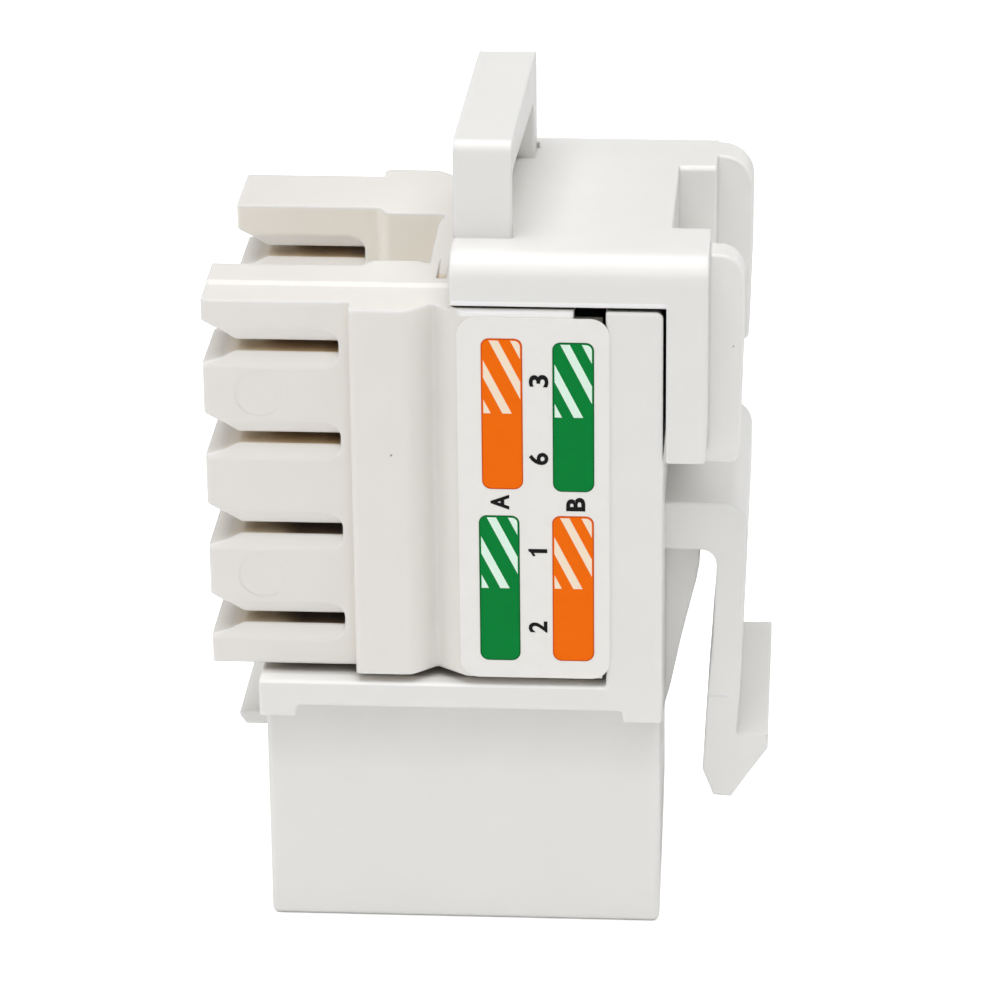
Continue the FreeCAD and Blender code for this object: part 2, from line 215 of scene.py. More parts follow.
def plastic(name, colour, rough, shade, grain=0.10, edge=0.10, depth=0.8, sss=0.12, spots=(), under=(), over=(),
            rim=0.0):
    """Moulded plastic: faint mottling, a fine grain in bump and roughness, softened edges, and
    painted shade: a deeper tone painted down in slots and corners, where light that bounces is lost.
    under and over are painted shade and painted light laid on by place, below and above that painted
    shade; rim is how far a painted highlight on outer edges goes towards white."""
    m = Nodes(name)
    cloud = m.noise(420.0, 4.0, 0.55)
    base = m.ramp(cloud, "Fac", [(0.30, tint(colour, 0.988)), (0.70, tint(colour, 1.006))])
    base = (base, "Color")
    # under: painted shade laid on by place, before the ambient-occlusion shade
    for colour_in, windows, strength, kind in under:
        base = m.blend(base, colour_in, m.region(windows), strength, kind)
    # painted shade: ambient occlusion darkens the base colour in slots and corners
    hollow = m.add("ShaderNodeAmbientOcclusion", samples=12, only_local=False)
    hollow.inputs["Distance"].default_value = depth * MM
    painted_ao_shade = m.ramp(hollow, "AO", [(0.10, shade[0]), (0.27, shade[1]), (0.45, shade[2]),
                                 (0.65, (1.0, 1.0, 1.0))])
    last, last_out = m.multiply(base[0], base[1], painted_ao_shade, "Color"), 2
    # over: painted highlights and painted shade laid on by place, after it
    for colour_in, windows, strength, kind in over:
        if callable(colour_in):
            colour_in = colour_in(m)
        last, last_out = m.blend((last, last_out), colour_in, m.region(windows), strength, kind)
    bevel = m.add("ShaderNodeBevel", samples=6)
    bevel.inputs["Radius"].default_value = edge * MM
    # painted highlight: outer edges, where the bevel normal turns from the face normal, are lightened towards white in
    # open air
    if rim > 0:
        face = m.add("ShaderNodeNewGeometry")
        turned = m.add("ShaderNodeVectorMath", operation="DOT_PRODUCT")
        m.link(bevel, "Normal", turned, 0)
        m.link(face, "Normal", turned, 1)
        painted_edge_highlight = m.span(turned, "Value", 0.985, 0.86, 0.0, 1.0)
        open_air = m.span(hollow, "AO", 0.72, 0.92, 0.0, 1.0)
        both = m.calc("MULTIPLY", (painted_edge_highlight, "Result"), (open_air, "Result"))
        last, last_out = m.blend((last, last_out), (0.99, 0.99, 0.985), both, rim)
    for where, radius, tone in spots:
        d = m.add("ShaderNodeVectorMath", operation="DISTANCE")
        m.link(m.coord, "Object", d, 0)
        d.inputs[1].default_value = Vector(where) * MM
        r = m.ramp(m.span(d, "Value", 0.0, 2.0 * radius * MM, 0.0, 1.0), "Result",
                   [(0.25, tone), (0.5, (1.0, 1.0, 1.0))])
        last = m.multiply(last, last_out, r, "Color")
        last_out = 2
    m.t.links.new(last.outputs[last_out], m.bsdf.inputs["Base Color"])
    fine = m.noise(9000.0, 3.0, 0.6)
    flow = m.noise(900.0, 2.0, 0.5, stretch=(1.0, 1.0, 0.35))
    r1 = m.span(fine, "Fac", 0.3, 0.7, rough - 0.05, rough + 0.05)
    r2 = m.span(flow, "Fac", 0.3, 0.7, -0.04, 0.04)
    total = m.add("ShaderNodeMath", operation="ADD")
    m.link(r1, "Result", total, 0)
    m.link(r2, "Result", total, 1)
    least = m.calc("MAXIMUM", (total, "Value"), 0.29)
    m.link(least[0], least[1], m.bsdf, "Roughness")
    b1 = m.add("ShaderNodeBump")
    b1.inputs["Strength"].default_value = grain
    b1.inputs["Distance"].default_value = 0.02 * MM
    m.link(fine, "Fac", b1, "Height")
    m.link(bevel, "Normal", b1, "Normal")
    b2 = m.add("ShaderNodeBump")
    b2.inputs["Strength"].default_value = 0.12
    b2.inputs["Distance"].default_value = 0.03 * MM
    m.link(flow, "Fac", b2, "Height")
    m.link(b1, "Normal", b2, "Normal")
    m.link(b2, "Normal", m.bsdf, "Normal")
    m.bsdf.inputs["IOR"].default_value = 1.5
    m.bsdf.inputs["Subsurface Weight"].default_value = sss
    m.bsdf.inputs["Subsurface Radius"].default_value = (1.0, 0.95, 0.85)
    m.bsdf.inputs["Subsurface Scale"].default_value = 0.5 * MM
    return m.mat


def metal(name, colour, rough):
    m = Nodes(name)
    brushed = m.noise(3000.0, 3.0, 0.6, stretch=(1.0, 1.0, 0.08))
    base = m.ramp(brushed, "Fac", [(0.25, tint(colour, 0.86)), (0.75, tint(colour, 1.06))])
    m.link(base, "Color", m.bsdf, "Base Color")
    r = m.span(brushed, "Fac", 0.25, 0.75, rough - 0.06, rough + 0.10)
    m.link(r, "Result", m.bsdf, "Roughness")
    b = m.add("ShaderNodeBump")
    b.inputs["Strength"].default_value = 0.15
    b.inputs["Distance"].default_value = 0.004 * MM
    m.link(brushed, "Fac", b, "Height")
    m.link(b, "Normal", m.bsdf, "Normal")
    m.bsdf.inputs["Metallic"].default_value = 1.0
    return m.mat


def board_mask(name):
    """Solder mask over glass cloth: a woven ripple under a glossy dark film."""
    m = Nodes(name)
    weave_a = m.add("ShaderNodeTexWave", wave_type="BANDS", bands_direction="Y")
    weave_b = m.add("ShaderNodeTexWave", wave_type="BANDS", bands_direction="Z")
    for w in (weave_a, weave_b):
        w.inputs["Scale"].default_value = 1100.0
        w.inputs["Distortion"].default_value = 0.6
        m.link(m.coord, "Object", w, "Vector")
    both = m.add("ShaderNodeMath", operation="ADD")
    m.link(weave_a, "Fac", both, 0)
    m.link(weave_b, "Fac", both, 1)
    base = m.ramp(m.span(both, "Value", 0.0, 2.0, 0.0, 1.0), "Result",
                  [(0.2, (0.012, 0.035, 0.022)), (0.8, (0.020, 0.055, 0.034))])
    m.link(base, "Color", m.bsdf, "Base Color")
    r = m.span(both, "Value", 0.0, 2.0, 0.30, 0.42)
    m.link(r, "Result", m.bsdf, "Roughness")
    b = m.add("ShaderNodeBump")
    b.inputs["Strength"].default_value = 0.2
    b.inputs["Distance"].default_value = 0.01 * MM
    m.link(both, "Value", b, "Height")
    m.link(b, "Normal", m.bsdf, "Normal")
    return m.mat


def film(name, colour, rough=0.42):
    """Plastic label film: a very slight orange peel and a mottled satin gloss."""
    m = Nodes(name)
    peel = m.noise(1600.0, 3.0, 0.5)
    base = m.ramp(peel, "Fac", [(0.3, tint(colour, 0.985)), (0.7, tint(colour, 1.01))])
    m.link(base, "Color", m.bsdf, "Base Color")
    r = m.span(peel, "Fac", 0.3, 0.7, rough - 0.05, rough + 0.05)
    m.link(r, "Result", m.bsdf, "Roughness")
    b = m.add("ShaderNodeBump")
    b.inputs["Strength"].default_value = 0.15
    b.inputs["Distance"].default_value = 0.01 * MM
    m.link(peel, "Fac", b, "Height")
    m.link(b, "Normal", m.bsdf, "Normal")
    return m.mat


def ink(name, colour, screen=0.10, rough=0.50):
    """Printed ink: a fine diagonal screen of lighter and darker dots."""
    m = Nodes(name)
    turn = m.add("ShaderNodeMapping")
    turn.inputs["Rotation"].default_value = (0.0, math.radians(45), 0.0)
    m.link(m.coord, "Object", turn, "Vector")
    waves = []
    for axis in ("X", "Z"):
        w = m.add("ShaderNodeTexWave", wave_type="BANDS", bands_direction=axis)
        w.inputs["Scale"].default_value = 2600.0
        w.inputs["Distortion"].default_value = 0.4
        m.link(turn, "Vector", w, "Vector")
        waves.append(w)
    dots = m.add("ShaderNodeMath", operation="MULTIPLY")
    m.link(waves[0], "Fac", dots, 0)
    m.link(waves[1], "Fac", dots, 1)
    blot = m.noise(1500.0, 3.0, 0.6)
    mix = m.add("ShaderNodeMath", operation="MULTIPLY_ADD")
    m.link(blot, "Fac", mix, 0)
    mix.inputs[1].default_value = 0.6
    m.link(dots, "Value", mix, 2)
    base = m.ramp(m.span(mix, "Value", 0.15, 1.3, 0.0, 1.0), "Result",
                  [(0.0, tint(colour, 1.0 - screen)), (1.0, tint(colour, 1.0 + screen))])
    m.link(base, "Color", m.bsdf, "Base Color")
    m.bsdf.inputs["Specular IOR Level"].default_value = 0.06
    r = m.span(blot, "Fac", 0.3, 0.7, rough - 0.05, rough + 0.06)
    m.link(r, "Result", m.bsdf, "Roughness")
    b = m.add("ShaderNodeBump")
    b.inputs["Strength"].default_value = 0.1
    b.inputs["Distance"].default_value = 0.005 * MM
    m.link(blot, "Fac", b, "Height")
    m.link(b, "Normal", m.bsdf, "Normal")
    return m.mat


HOUSING = (0.83, 0.822, 0.80)
BLOCK = (0.825, 0.80, 0.76)
# painted shade: the tones the ambient-occlusion ramp paints into slots and corners, for the housing and the block
SHADE_H = ((0.10, 0.095, 0.09), (0.60, 0.59, 0.57), (0.985, 0.983, 0.98))
SHADE_B = ((0.09, 0.050, 0.022), (0.56, 0.48, 0.36), (0.965, 0.94, 0.89))

def painted_slot_shade(m):
    """Painted shade: the plastic is painted deeper and browner the further a wire slot runs in, darkest in the lower
    slots.
    """
    m.region([("X", 0.0, None, 1.0)])
    at = m.span(m.axes["X"][0], m.axes["X"][1], -10.0 * MM, -4.5 * MM, 0.0, 1.0)
    upper = m.ramp(at, "Result", [(0.09, (1.0, 1.0, 1.0)), (0.19, (0.93, 0.87, 0.78)), (0.30, (0.82, 0.73, 0.58)),
                                  (0.42, (0.84, 0.72, 0.54)), (0.52, (0.78, 0.62, 0.44)), (0.63, (0.68, 0.52, 0.32)),
                                  (0.88, (0.70, 0.54, 0.34)), (1.0, (0.80, 0.65, 0.45))])
    lower = m.ramp(at, "Result", [(0.09, (1.0, 1.0, 1.0)), (0.18, (0.80, 0.74, 0.64)), (0.30, (0.66, 0.58, 0.45)),
                                  (0.42, (0.62, 0.54, 0.42)), (0.50, (0.50, 0.42, 0.30)), (0.58, (0.22, 0.16, 0.10)),
                                  (0.64, (0.14, 0.08, 0.05)), (1.0, (0.15, 0.10, 0.07))])
    return m.blend((lower, "Color"), (upper, "Color"), m.region([("Z", 19.4, None, 0.1)]))


# painted shade on the nose's upper faces under the frame's overhang; painted light on the ledge's top below the block
housing_mat = plastic("housing_plastic", HOUSING, 0.36, SHADE_H, edge=0.22, rim=1.0,
                      under=[((0.93, 0.93, 0.93), [("Z", 8.0, 10.15, 1.2), ("S", None, 7.35, 0.05)], 1.0, "MULTIPLY")],
                      over=[((0.98, 0.975, 0.96), [("Z", 11.15, 11.30, 0.01), ("S", 7.6, None, 0.08),
                                                  ("X", None, 5.9, 0.05)], 0.95, "MIX")])
# painted shade on the notch's left wall; painted highlight in a band near the lower edge of the cover's near and far
# faces
cover_mat = plastic("cover_plastic", tint(HOUSING, 1.005), 0.33, SHADE_H, edge=0.22, rim=1.0,
                    under=[((0.84, 0.84, 0.835), [("X", 8.30, 8.42, 0.02), ("Y", -4.3, 3.65, 0.03),
                                                  ("Z", 25.7, 29.2, 0.05)], 1.0, "MULTIPLY")],
                    over=[((0.99, 0.99, 0.985), [("Z", 27.54, 27.76, 0.02), ("S", 8.2, None, 0.02),
                                                 ("X", None, 8.2, 0.2)], 0.85, "MIX")],
                    spots=[((10.86, -7.0, 25.54), 0.045, (0.45, 0.45, 0.44))])
# painted highlight: a white band across the witness line on the arm's near face
latch_mat = plastic("latch_plastic", HOUSING, 0.36, SHADE_H, edge=0.22, rim=1.0,
                    over=[((0.99, 0.99, 0.985), [("X", 10.12, 10.76, 0.10), ("Y", None, -5.55, 0.02),
                                                 ("Z", 9.66, 9.80, 0.03)], 1.0, "MIX")])
# painted shade, darker and warmer, on the inner faces between the towers and down the wire slots; painted highlight
# along the upper edge above the labels. The dark spot is a mould mark.
block_mat = plastic("block_plastic", BLOCK, 0.38, SHADE_B, grain=0.12, edge=0.22, rim=1.0,
                    under=[((0.90, 0.86, 0.79), [("S", None, 3.55, 0.02), ("Z", None, 27.30, 0.02),
                                                    ("X", None, -1.3, 0.05)], 1.0, "MIX")],
                    over=[(painted_slot_shade, [("S", 3.85, 7.10, 0.06), ("Z", 12.2, 27.2, 0.05)], 1.0, "MULTIPLY"),
                          ((0.99, 0.985, 0.975), [("Z", 27.13, None, 0.02), ("S", 8.13, None, 0.03),
                                                  ("X", 0.1, None, 0.15)], 0.8, "MIX")],
                    spots=[((-2.6, -8.35, 21.2), 0.06, (0.35, 0.33, 0.30))])
carrier_mat = plastic("carrier_plastic", (0.78, 0.775, 0.755), 0.45, SHADE_H, grain=0.16)
board_mat = board_mask("board_mask")
blade_mat = metal("blade_tin", (0.60, 0.56, 0.48), 0.30)
gold_mat = metal("wire_gold", (0.86, 0.64, 0.28), 0.22)
film_mat = film("label_film", (0.88, 0.864, 0.830))
white_mat = film("label_white", (0.89, 0.88, 0.865))
peach_mat = film("label_peach", (0.97, 0.80, 0.62))
mint_mat = film("label_mint", (0.76, 0.96, 0.83))
orange_mat = ink("ink_orange", (0.99, 0.163, 0.002), screen=0.07)
green_mat = ink("ink_green", (0.002, 0.238, 0.043), screen=0.14)
orange_edge_mat = ink("ink_orangeedge", (0.66, 0.085, 0.006), screen=0.08)
green_edge_mat = ink("ink_greenedge", (0.004, 0.125, 0.026), screen=0.12)
blue_mat = ink("ink_blue", (0.020, 0.110, 0.480), screen=0.12)
brown_mat = ink("ink_brown", (0.240, 0.085, 0.030), screen=0.12)
black_mat = ink("ink_black", (0.012, 0.012, 0.012), screen=0.2, rough=0.45)

BY_NODE = {"front_housing": housing_mat, "latch_arm": latch_mat, "rear_cover": cover_mat,
           "idc_block": block_mat, "circuit_board": board_mat, "contact_carrier": carrier_mat,
           "label_near": film_mat, "label_far": film_mat}
for name, obj in NODES.items():
    mat = BY_NODE.get(name)
    if name.startswith("idc_contact"):
        mat = blade_mat
    elif name.startswith("spring_contact"):
        mat = gold_mat
    for s in obj.material_slots:
        s.material = mat
    if not obj.material_slots:
        obj.data.materials.append(mat)


# ----------------------------------------------------------------------------
# mesh helpers; every size below is in millimetres
# ----------------------------------------------------------------------------
def piece(name, verts, faces, mat, smooth=False):
    mesh = bpy.data.meshes.new(name)
    mesh.from_pydata([tuple(c * MM for c in v) for v in verts], [], faces)
    mesh.validate()
    bm = bmesh.new()
    bm.from_mesh(mesh)
    bmesh.ops.remove_doubles(bm, verts=bm.verts, dist=1e-8)
    bmesh.ops.recalc_face_normals(bm, faces=bm.faces)
    bm.to_mesh(mesh)
    bm.free()
    mesh.materials.append(mat)
    if smooth:
        for p in mesh.polygons:
            p.use_smooth = True
    o = bpy.data.objects.new(name, mesh)
    bpy.context.scene.collection.objects.link(o)
    return o


def rounded(pts, steps=6):
    """A closed 2-D outline whose corners (x, y, radius) are rounded."""
    n = len(pts)
    p = [(q[0], q[1], q[2] if len(q) > 2 else 0.0) for q in pts]
    out = []
    for i in range(n):
        a, b, r = p[i]
        if r <= 0:
            out.append((a, b))
            continue
        pa, pb = p[i - 1][:2]
        na, nb = p[(i + 1) % n][:2]
        d0, d1 = math.hypot(pa - a, pb - b), math.hypot(na - a, nb - b)
        u0 = ((pa - a) / d0, (pb - b) / d0)
        u1 = ((na - a) / d1, (nb - b) / d1)
        ang = math.acos(max(-1.0, min(1.0, u0[0] * u1[0] + u0[1] * u1[1])))
        t = r / math.tan(ang / 2)
        s = (a + u0[0] * t, b + u0[1] * t)
        e = (a + u1[0] * t, b + u1[1] * t)
        bis = (u0[0] + u1[0], u0[1] + u1[1])
        bl = math.hypot(*bis)
        h = r / math.sin(ang / 2)
        c = (a + bis[0] / bl * h, b + bis[1] / bl * h)
        a0 = math.atan2(s[1] - c[1], s[0] - c[0])
        a1 = math.atan2(e[1] - c[1], e[0] - c[0])
        da = (a1 - a0 + math.pi) % (2 * math.pi) - math.pi
        for k in range(steps + 1):
            w = a0 + da * k / steps
            out.append((c[0] + r * math.cos(w), c[1] + r * math.sin(w)))
    return out


def clip_convex(subject, clip):
    """Sutherland-Hodgman: the part of subject inside the convex outline clip."""
    area = sum(clip[i - 1][0] * clip[i][1] - clip[i][0] * clip[i - 1][1] for i in range(len(clip)))
    if area < 0:
        clip = clip[::-1]
    out = subject
    for i in range(len(clip)):
        (ax, ay), (bx, by) = clip[i - 1], clip[i]

        def side(p):
            return (bx - ax) * (p[1] - ay) - (by - ay) * (p[0] - ax)
        made = []
        for j in range(len(out)):
            p, q = out[j - 1], out[j]
            sp, sq = side(p), side(q)
            if (sp >= 0) != (sq >= 0):
                t = sp / (sp - sq)
                made.append((p[0] + (q[0] - p[0]) * t, p[1] + (q[1] - p[1]) * t))
            if sq >= 0:
                made.append(q)
        out = made
        if len(out) < 3:
            return []
    return out


# ----------------------------------------------------------------------------
# latch: one moulding with the housing. This skin takes the place of the CAD arm,
# runs up over the root and bends where the arm leaves it.
# ----------------------------------------------------------------------------
def latch_skin():
    y = 5.60
    proud = 0.010
    # stations (inner x, inner z, outer x, outer z, how far the sides stand proud), wall end first
    st = [(8.00, 16.20 - proud, 8.00, 18.25 + proud, proud)]
    for t in (90, 78, 66, 54, 42, 30, 18, 8, 0):
        c, d = math.cos(math.radians(t)), math.sin(math.radians(t))
        st.append((9.60 + (0.65 - proud) * c, 15.55 + (0.65 - proud) * d,
                   10.45 + (1.0 + proud) * c, 17.25 + (1.0 + proud) * d, proud))
    for zi, zo in ((15.53, 16.70), (15.51, 16.25), (15.48, 15.90), (15.45, 15.62)):
        st.append((10.25 - proud, zi, 11.45 + proud, zo, proud))

    def line(z, a, b):
        return a[0] + (b[0] - a[0]) * (z - a[1]) / (b[1] - a[1])
    for z in (15.40, 15.20, 15.00, 14.80, 14.60, 14.40, 14.0, 13.5, 13.10):
        p = max(0.0, proud * (z - 14.4))
        st.append((line(z, (10.25, 15.4), (10.12, 12.05)) - p, z,
                   line(z, (11.45, 15.4), (11.38, 13.10)) + p, z, p))
    lower = rounded([(st[-1][0], 13.10), (10.12, 12.05, 8.0), (9.90, 9.03, 8.0), (9.84, 7.90, 3.0),
                     (9.74, 6.37, 0.3), (10.19, 5.18, 0.10), (10.92, 5.12, 0.10), (11.77, 6.41, 2.0),
                     (12.42, 7.36, 0.12), (12.42, 7.95, 0.06), (11.11, 7.95, 0.12),
                     (11.29, 10.50, 8.0), (11.38, 13.10)], 5)
    verts, faces = [], []
    for xi, zi, xo, zo, p in st:
        verts += [(xi, -y - p, zi), (xo, -y - p, zo), (xo, y + p, zo), (xi, y + p, zi)]
    for k in range(len(st) - 1):
        a, b = 4 * k, 4 * k + 4
        for i in range(4):
            j = (i + 1) % 4
            faces.append((a + i, a + j, b + j, b + i))
    faces.append((0, 3, 2, 1))
    last = 4 * (len(st) - 1)
    # the rest of the arm and the hook: outline from the inner point round the tip to the outer point
    ring = lower[1:-1]
    n0 = len(verts)
    verts += [(x, -y, z) for x, z in ring]
    n1 = len(verts)
    verts += [(x, y, z) for x, z in ring]
    n = len(ring)
    faces.append([last] + list(range(n0, n0 + n)) + [last + 1])
    faces.append([last + 3] + list(range(n1, n1 + n)) + [last + 2])
    front = [last] + list(range(n0, n0 + n)) + [last + 1]
    rear = [last + 3] + list(range(n1, n1 + n)) + [last + 2]
    for k in range(len(front) - 1):
        faces.append((front[k], front[k + 1], rear[k + 1], rear[k]))
    # a small raised witness line left by the mould on the near side
    b = len(verts)
    for x in (10.02, 10.74):
        verts += [(x, -y + 0.01, 9.80), (x, -y - 0.028, 9.72), (x, -y + 0.01, 9.64)]
    faces += [(b, b + 1, b + 4, b + 3), (b + 1, b + 2, b + 5, b + 4), (b + 2, b, b + 3, b + 5),
              (b, b + 2, b + 1), (b + 3, b + 4, b + 5)]
    o = piece("latch_moulding", verts, faces, latch_mat)
    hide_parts("latch_arm")
    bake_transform(o)


latch_skin()


# ----------------------------------------------------------------------------
# contact wires: the free end of each, from part way up its fixed leg round the bend to the tip
# ----------------------------------------------------------------------------
def contact_wires():
    leg_x, bend_r, bend_z, r0 = -5.85, 0.50, 2.20, 0.225
    bend_x = leg_x + bend_r
    tilt, arm_len = math.radians(22.0), 8.0
    sides = 14
    for i in range(8):
        y = (i - 3.5) * 1.016
        path = [(leg_x, 3.6, 0.0), (leg_x, 3.1, 0.0), (leg_x, 2.6, 0.0)]
        stop = math.pi - tilt
        for k in range(13):
            a = stop * k / 12
            path.append((bend_x - bend_r * math.cos(a), bend_z - bend_r * math.sin(a), a))
        px, pz, _ = path[-1]
        for k in (0.15, 0.4, 0.7, 0.97, 0.99, 1.0):
            path.append((px + math.sin(tilt) * arm_len * k, pz + math.cos(tilt) * arm_len * k, stop))
        verts, faces = [], []
        for k, (x, z, a) in enumerate(path):
            r = r0 + (0.004 if k < 4 else 0.0)
            if k == 0:
                r = r0 + 0.001
            if k == len(path) - 2:
                r = r0 * 0.92
            if k == len(path) - 1:
                r = r0 * 0.70
            # n is across the wire in the XZ plane: at a = 0 the wire runs down -Z and n is -X
            nx, nz = -math.cos(a), -math.sin(a)
            for s in range(sides):
                w = 2 * math.pi * s / sides
                verts.append((x + nx * r * math.cos(w), y + r * math.sin(w), z + nz * r * math.cos(w)))
        for k in range(len(path) - 1):
            for s in range(sides):
                t = (s + 1) % sides
                faces.append((k * sides + s, k * sides + t, (k + 1) * sides + t, (k + 1) * sides + s))
        faces.append(list(range(sides)))
        faces.append(list(range((len(path) - 1) * sides, len(path) * sides)))
        o = piece("contact_wire_%d" % (i + 1), verts, faces, gold_mat, smooth=True)
        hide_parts("spring_contact_%d" % (i + 1))
        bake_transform(o)


contact_wires()


# ----------------------------------------------------------------------------
# print on the labels: colour bars with diagonal white stripes, figures and letters
# ----------------------------------------------------------------------------
INK = 0.012              # thickness of the ink, drawn thick enough to hold
WHITE = 0.0185
FILM_Y = 8.43 - WHITE    # outer face of the film; the ink makes up the label's full thickness
TRAP = {orange_mat: orange_edge_mat, green_mat: green_edge_mat}     # deeper rim round a bar
LIGHT = {orange_mat: peach_mat, green_mat: mint_mat}                # stripes pick up a little of the bar


def label_film(side, node):
    """The film itself: the label less the thickness of its ink."""
    src = NODES[node].data
    verts = [tuple(v.co / MM) for v in src.vertices]
    verts = [(x, side * min(abs(y), FILM_Y), z) for x, y, z in verts]
    o = piece("film_" + node.split("_")[1], verts, [list(p.vertices) for p in src.polygons], film_mat)
    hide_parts(node)
    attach(o, "jack")


def slab(outlines, side, y0, y1):
    """Flat prisms on a label: each outline is (x, z) points, y from y0 to y1 off the middle plane."""
    verts, faces = [], []
    for pts in outlines:
        n = len(pts)
        if n < 3:
            continue
        b = len(verts)
        verts += [(x, side * y0, z) for x, z in pts] + [(x, side * y1, z) for x, z in pts]
        faces.append(list(range(b, b + n)))
        faces.append(list(range(b + n, b + 2 * n)))
        for k in range(n):
            j = (k + 1) % n
            faces.append((b + k, b + j, b + n + j, b + n + k))
    return verts, faces


def bar(x0, x1, z0, z1, inset=0.0):
    a, b = 0.36 - inset, 0.32 - inset
    return rounded([(x0 + inset, z0 + inset, a), (x1 - inset, z0 + inset, a), (x1 - inset, z1 - inset, b),
                    (x0 + inset, z1 - inset, b)], 6)


def stripes(x0, x1, z0, z1, mirror):
    """White diagonals in the upper half of a bar, one outline each."""
    inset = 0.085
    zc = z1 - 3.15
    area = rounded([(x0 + inset, zc, 0.0), (x1 - inset, zc, 0.0), (x1 - inset, z1 - inset, 0.24),
                    (x0 + inset, z1 - inset, 0.24)], 6)
    out = []
    for off in (1.12, 0.275, -0.74, -1.57):
        a = x0 + off
        strip = [(a - 1.0, z1 + 2.0), (a - 1.0 + 0.37, z1 + 2.0),
                 (a + 2.5 + 0.37, z1 - 5.0), (a + 2.5, z1 - 5.0)]
        if mirror:
            strip = [(x0 + x1 - p, q) for p, q in strip][::-1]
        cut = clip_convex(strip, area)
        if cut:
            out.append(cut)
    return out


def glyph(ch, cx, cz, tall, wide, side, bold=0.0):
    """One figure or letter, standing proud of the film by INK, its top towards -X on the near side
    and +X on the far side, as label text is set that reads upwards."""
    if ch == "1":
        pts = [(0.235, 0.0), (0.37, 0.0), (0.37, 0.69), (0.30, 0.69), (0.25, 0.615), (0.19, 0.565),
               (0.12, 0.53), (0.12, 0.43), (0.20, 0.465), (0.235, 0.505)]
        n = len(pts)
        vs = [(x, y, 0.0) for x, y in pts] + [(x, y, 1.0) for x, y in pts]
        fs = [list(range(n)), list(range(n, 2 * n))]
        fs += [(k, (k + 1) % n, n + (k + 1) % n, n + k) for k in range(n)]
    else:
        c = bpy.data.curves.new("glyph", "FONT")
        c.body = ch
        c.size = 1.0
        c.extrude = 0.5
        c.offset = bold
        c.resolution_u = 4
        o = bpy.data.objects.new("glyph", c)
        bpy.context.scene.collection.objects.link(o)
        bpy.context.view_layer.update()
        me = bpy.data.meshes.new_from_object(o.evaluated_get(bpy.context.evaluated_depsgraph_get()))
        vs = [(v.co.x, v.co.y, 0.0 if v.co.z < 0 else 1.0) for v in me.vertices]
        fs = [list(p.vertices) for p in me.polygons]
        bpy.data.objects.remove(o)
        bpy.data.meshes.remove(me)
        bpy.data.curves.remove(c)
    x0, x1 = min(v[0] for v in vs), max(v[0] for v in vs)
    y0, y1 = min(v[1] for v in vs), max(v[1] for v in vs)
    out = []
    for gx, gy, gz in vs:
        along = (gx - 0.5 * (x0 + x1)) / (x1 - x0) * wide
        up = (gy - 0.5 * (y0 + y1)) / (y1 - y0) * tall
        out.append((cx + side * up, side * (FILM_Y - 0.002 + gz * (INK + 0.002)), cz + along))
    return out, fs


def printing(side, tag, bars, marks):
    label_film(side, "label_" + tag)
    groups, edges, light = {}, {}, {}
    for mat, x0, x1, z0, z1 in bars:
        groups.setdefault(mat, []).append(bar(x0, x1, z0, z1, 0.05 if mat in TRAP else 0.0))
        if mat in TRAP:
            edges.setdefault(TRAP[mat], []).append(bar(x0, x1, z0, z1))
        light.setdefault(LIGHT.get(mat, white_mat), []).extend(stripes(x0, x1, z0, z1, side > 0))
    for batch, low, high in ((edges, -0.002, INK), (groups, 0.0, INK + 0.0025), (light, INK - 0.001, WHITE)):
        for mat, outlines in batch.items():
            v, f = slab(outlines, side, FILM_Y + low, FILM_Y + high)
            o = piece("print_%s_%s" % (tag, mat.name.split("_")[1]), v, f, mat)
            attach(o, "jack")
    vs, fs = [], []
    for ch, cx, cz, tall, wide, bold in marks:
        v, f = glyph(ch, cx, cz, tall, wide, side, bold)
        b = len(vs)
        vs += v
        fs += [[b + i for i in p] for p in f]
    o = piece("print_%s_figures" % tag, vs, fs, black_mat)
    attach(o, "jack")


printing(-1, "near",
         [(orange_mat, 1.00, 2.63, 19.87, 26.25), (green_mat, 3.81, 5.45, 19.80, 26.12),
          (green_mat, 0.85, 2.47, 12.41, 18.73), (orange_mat, 3.77, 5.43, 12.43, 18.75)],
         [("3", 3.27, 24.49, 0.77, 0.52, 0.024), ("6", 3.25, 21.19, 0.77, 0.52, 0.024),
          ("1", 3.19, 17.15, 0.75, 0.31, 0.0), ("2", 3.18, 13.90, 0.75, 0.49, 0.024),
          ("A", 1.70, 19.31, 0.74, 0.64, 0.032), ("B", 4.71, 19.26, 0.76, 0.58, 0.034)])
printing(1, "far",
         [(blue_mat, 1.00, 2.63, 19.87, 26.25), (blue_mat, 3.81, 5.45, 19.87, 26.25),
          (brown_mat, 1.00, 2.63, 12.41, 18.73), (brown_mat, 3.81, 5.45, 12.41, 18.73)],
         [("4", 3.22, 24.45, 0.77, 0.54, 0.024), ("5", 3.22, 21.20, 0.77, 0.52, 0.024),
          ("7", 3.22, 17.10, 0.77, 0.50, 0.024), ("8", 3.22, 13.90, 0.77, 0.52, 0.024),
          ("A", 1.80, 19.31, 0.74, 0.64, 0.032), ("B", 4.65, 19.31, 0.76, 0.58, 0.034)])


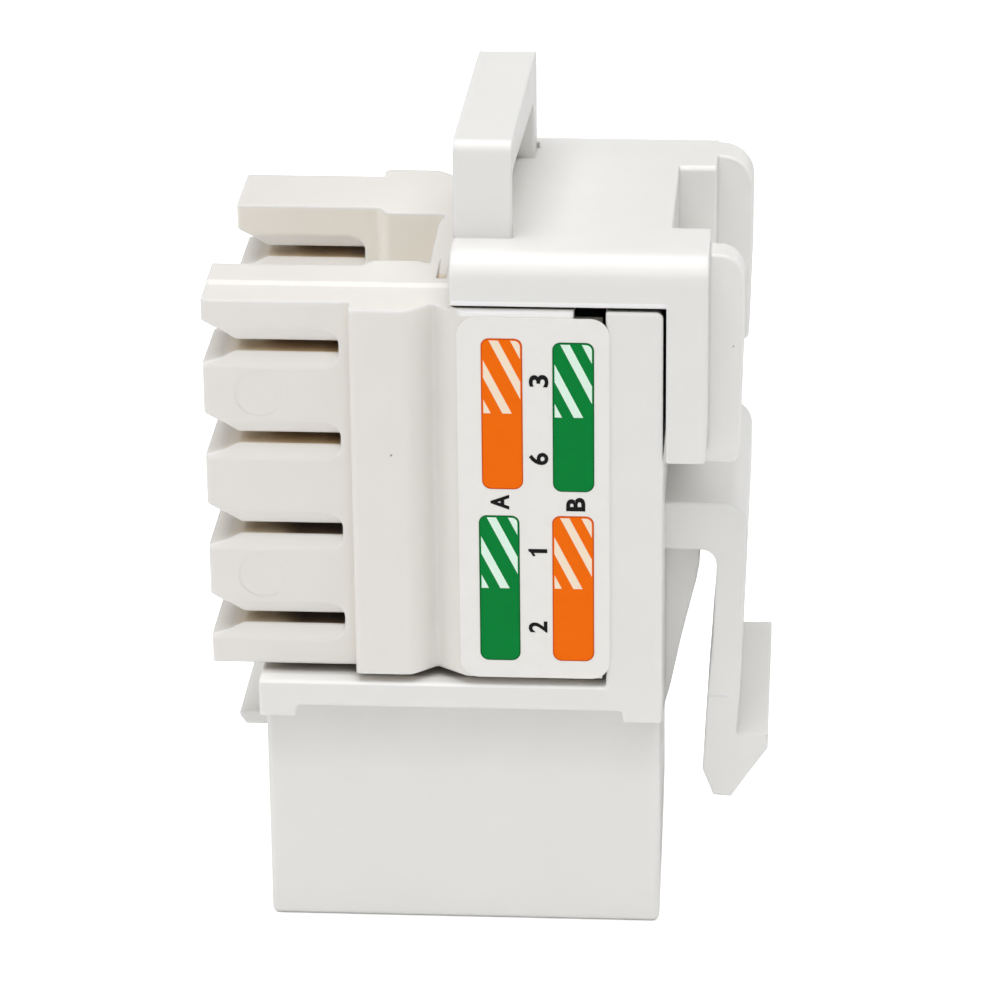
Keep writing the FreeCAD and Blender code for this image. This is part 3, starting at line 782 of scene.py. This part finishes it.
# ----------------------------------------------------------------------------
# floor, background and lights
# ----------------------------------------------------------------------------
def floor():
    # open under the nose's front face, so that the face can be lit when seen from below
    verts = [(-3000, -3000, -0.01), (3000, -3000, -0.01), (3000, 3000, -0.01), (-3000, 3000, -0.01),
             (-7.73, -6.93, -0.01), (7.73, -6.93, -0.01), (7.43, 6.93, -0.01), (-7.73, 6.93, -0.01)]
    m = Nodes("floor_pale")
    m.bsdf.inputs["Roughness"].default_value = 0.9
    m.bsdf.inputs["Specular IOR Level"].default_value = 0.1
    sheen = m.noise(40.0, 2.0, 0.5)
    base = m.ramp(sheen, "Fac", [(0.3, (0.93, 0.93, 0.93)), (0.7, (0.95, 0.95, 0.95))])
    m.link(base, "Color", m.bsdf, "Base Color")
    m.bsdf.inputs["Emission Color"].default_value = (1.0, 1.0, 1.0, 1.0)
    path = m.add("ShaderNodeLightPath")
    m.link(m.span(path, "Is Camera Ray", 0.0, 1.0, FLOOR_GLOW, FLOOR_SEEN), "Result", m.bsdf, "Emission Strength")
    # seen from below, the floor lets the object show
    clear = m.add("ShaderNodeBsdfTransparent")
    geo = m.add("ShaderNodeNewGeometry")
    mix = m.add("ShaderNodeMixShader")
    below = m.calc("MULTIPLY", (geo, "Backfacing"), (path, "Is Camera Ray"))
    m.link(below[0], below[1], mix, "Fac")
    m.t.links.new(m.bsdf.outputs[0], mix.inputs[1])
    m.t.links.new(clear.outputs[0], mix.inputs[2])
    m.link(mix, "Shader", m.out, "Surface")
    o = piece("floor", verts, [(0, 1, 5, 4), (1, 2, 6, 5), (2, 3, 7, 6), (3, 0, 4, 7)], m.mat)
    if o.data.polygons[0].normal.z < 0:
        o.data.flip_normals()


def soft_box(name, place, aim, size, watts, colour=(1.0, 1.0, 1.0)):
    if watts <= 0:
        return
    data = bpy.data.lights.new(name, "AREA")
    data.shape = "RECTANGLE"
    data.size, data.size_y = size
    data.energy = watts
    data.color = colour
    o = bpy.data.objects.new(name, data)
    bpy.context.scene.collection.objects.link(o)
    o.location = Vector(place)
    o.rotation_mode = "QUATERNION"
    o.rotation_quaternion = (Vector(aim) - Vector(place)).to_track_quat("-Z", "Y")


def world():
    w = bpy.data.worlds.new("studio")
    bpy.context.scene.world = w
    w.use_nodes = True
    t = w.node_tree
    t.nodes.clear()
    out = t.nodes.new("ShaderNodeOutputWorld")
    lit = t.nodes.new("ShaderNodeBackground")
    lit.inputs["Color"].default_value = (1.0, 1.0, 1.0, 1.0)
    lit.inputs["Strength"].default_value = WORLD
    seen = t.nodes.new("ShaderNodeBackground")
    seen.inputs["Color"].default_value = (1.0, 1.0, 1.0, 1.0)
    seen.inputs["Strength"].default_value = 1.0
    path = t.nodes.new("ShaderNodeLightPath")
    mix = t.nodes.new("ShaderNodeMixShader")
    t.links.new(path.outputs["Is Camera Ray"], mix.inputs[0])
    t.links.new(lit.outputs[0], mix.inputs[1])
    t.links.new(seen.outputs[0], mix.inputs[2])
    t.links.new(mix.outputs[0], out.inputs["Surface"])


floor()
world()
MID = (0.002, 0.0, 0.016)
soft_box("top", (0.0, -0.02, 0.36), MID, (0.34, 0.34), TOP)
soft_box("front", (0.02, -0.42, 0.16), MID, (0.40, 0.30), FRONT)
soft_box("left", (-0.42, -0.10, 0.14), MID, (0.30, 0.30), LEFT)
soft_box("right", (0.42, -0.10, 0.14), MID, (0.30, 0.30), RIGHT)
soft_box("back", (0.0, 0.42, 0.22), MID, (0.40, 0.30), BACK)
soft_box("key", (0.0, -0.28, 0.28), MID, (0.40, 0.24), KEY)
soft_box("rim", (0.05, 0.45, 0.07), MID, (0.60, 0.14), RIM)
soft_box("under", (0.0, 0.0, -0.30), MID, (0.30, 0.30), UNDER)

scene = bpy.context.scene
scene.view_settings.view_transform = "Standard"
scene.view_settings.look = "None"
scene.view_settings.exposure = 0.0
scene.view_settings.gamma = 1.0
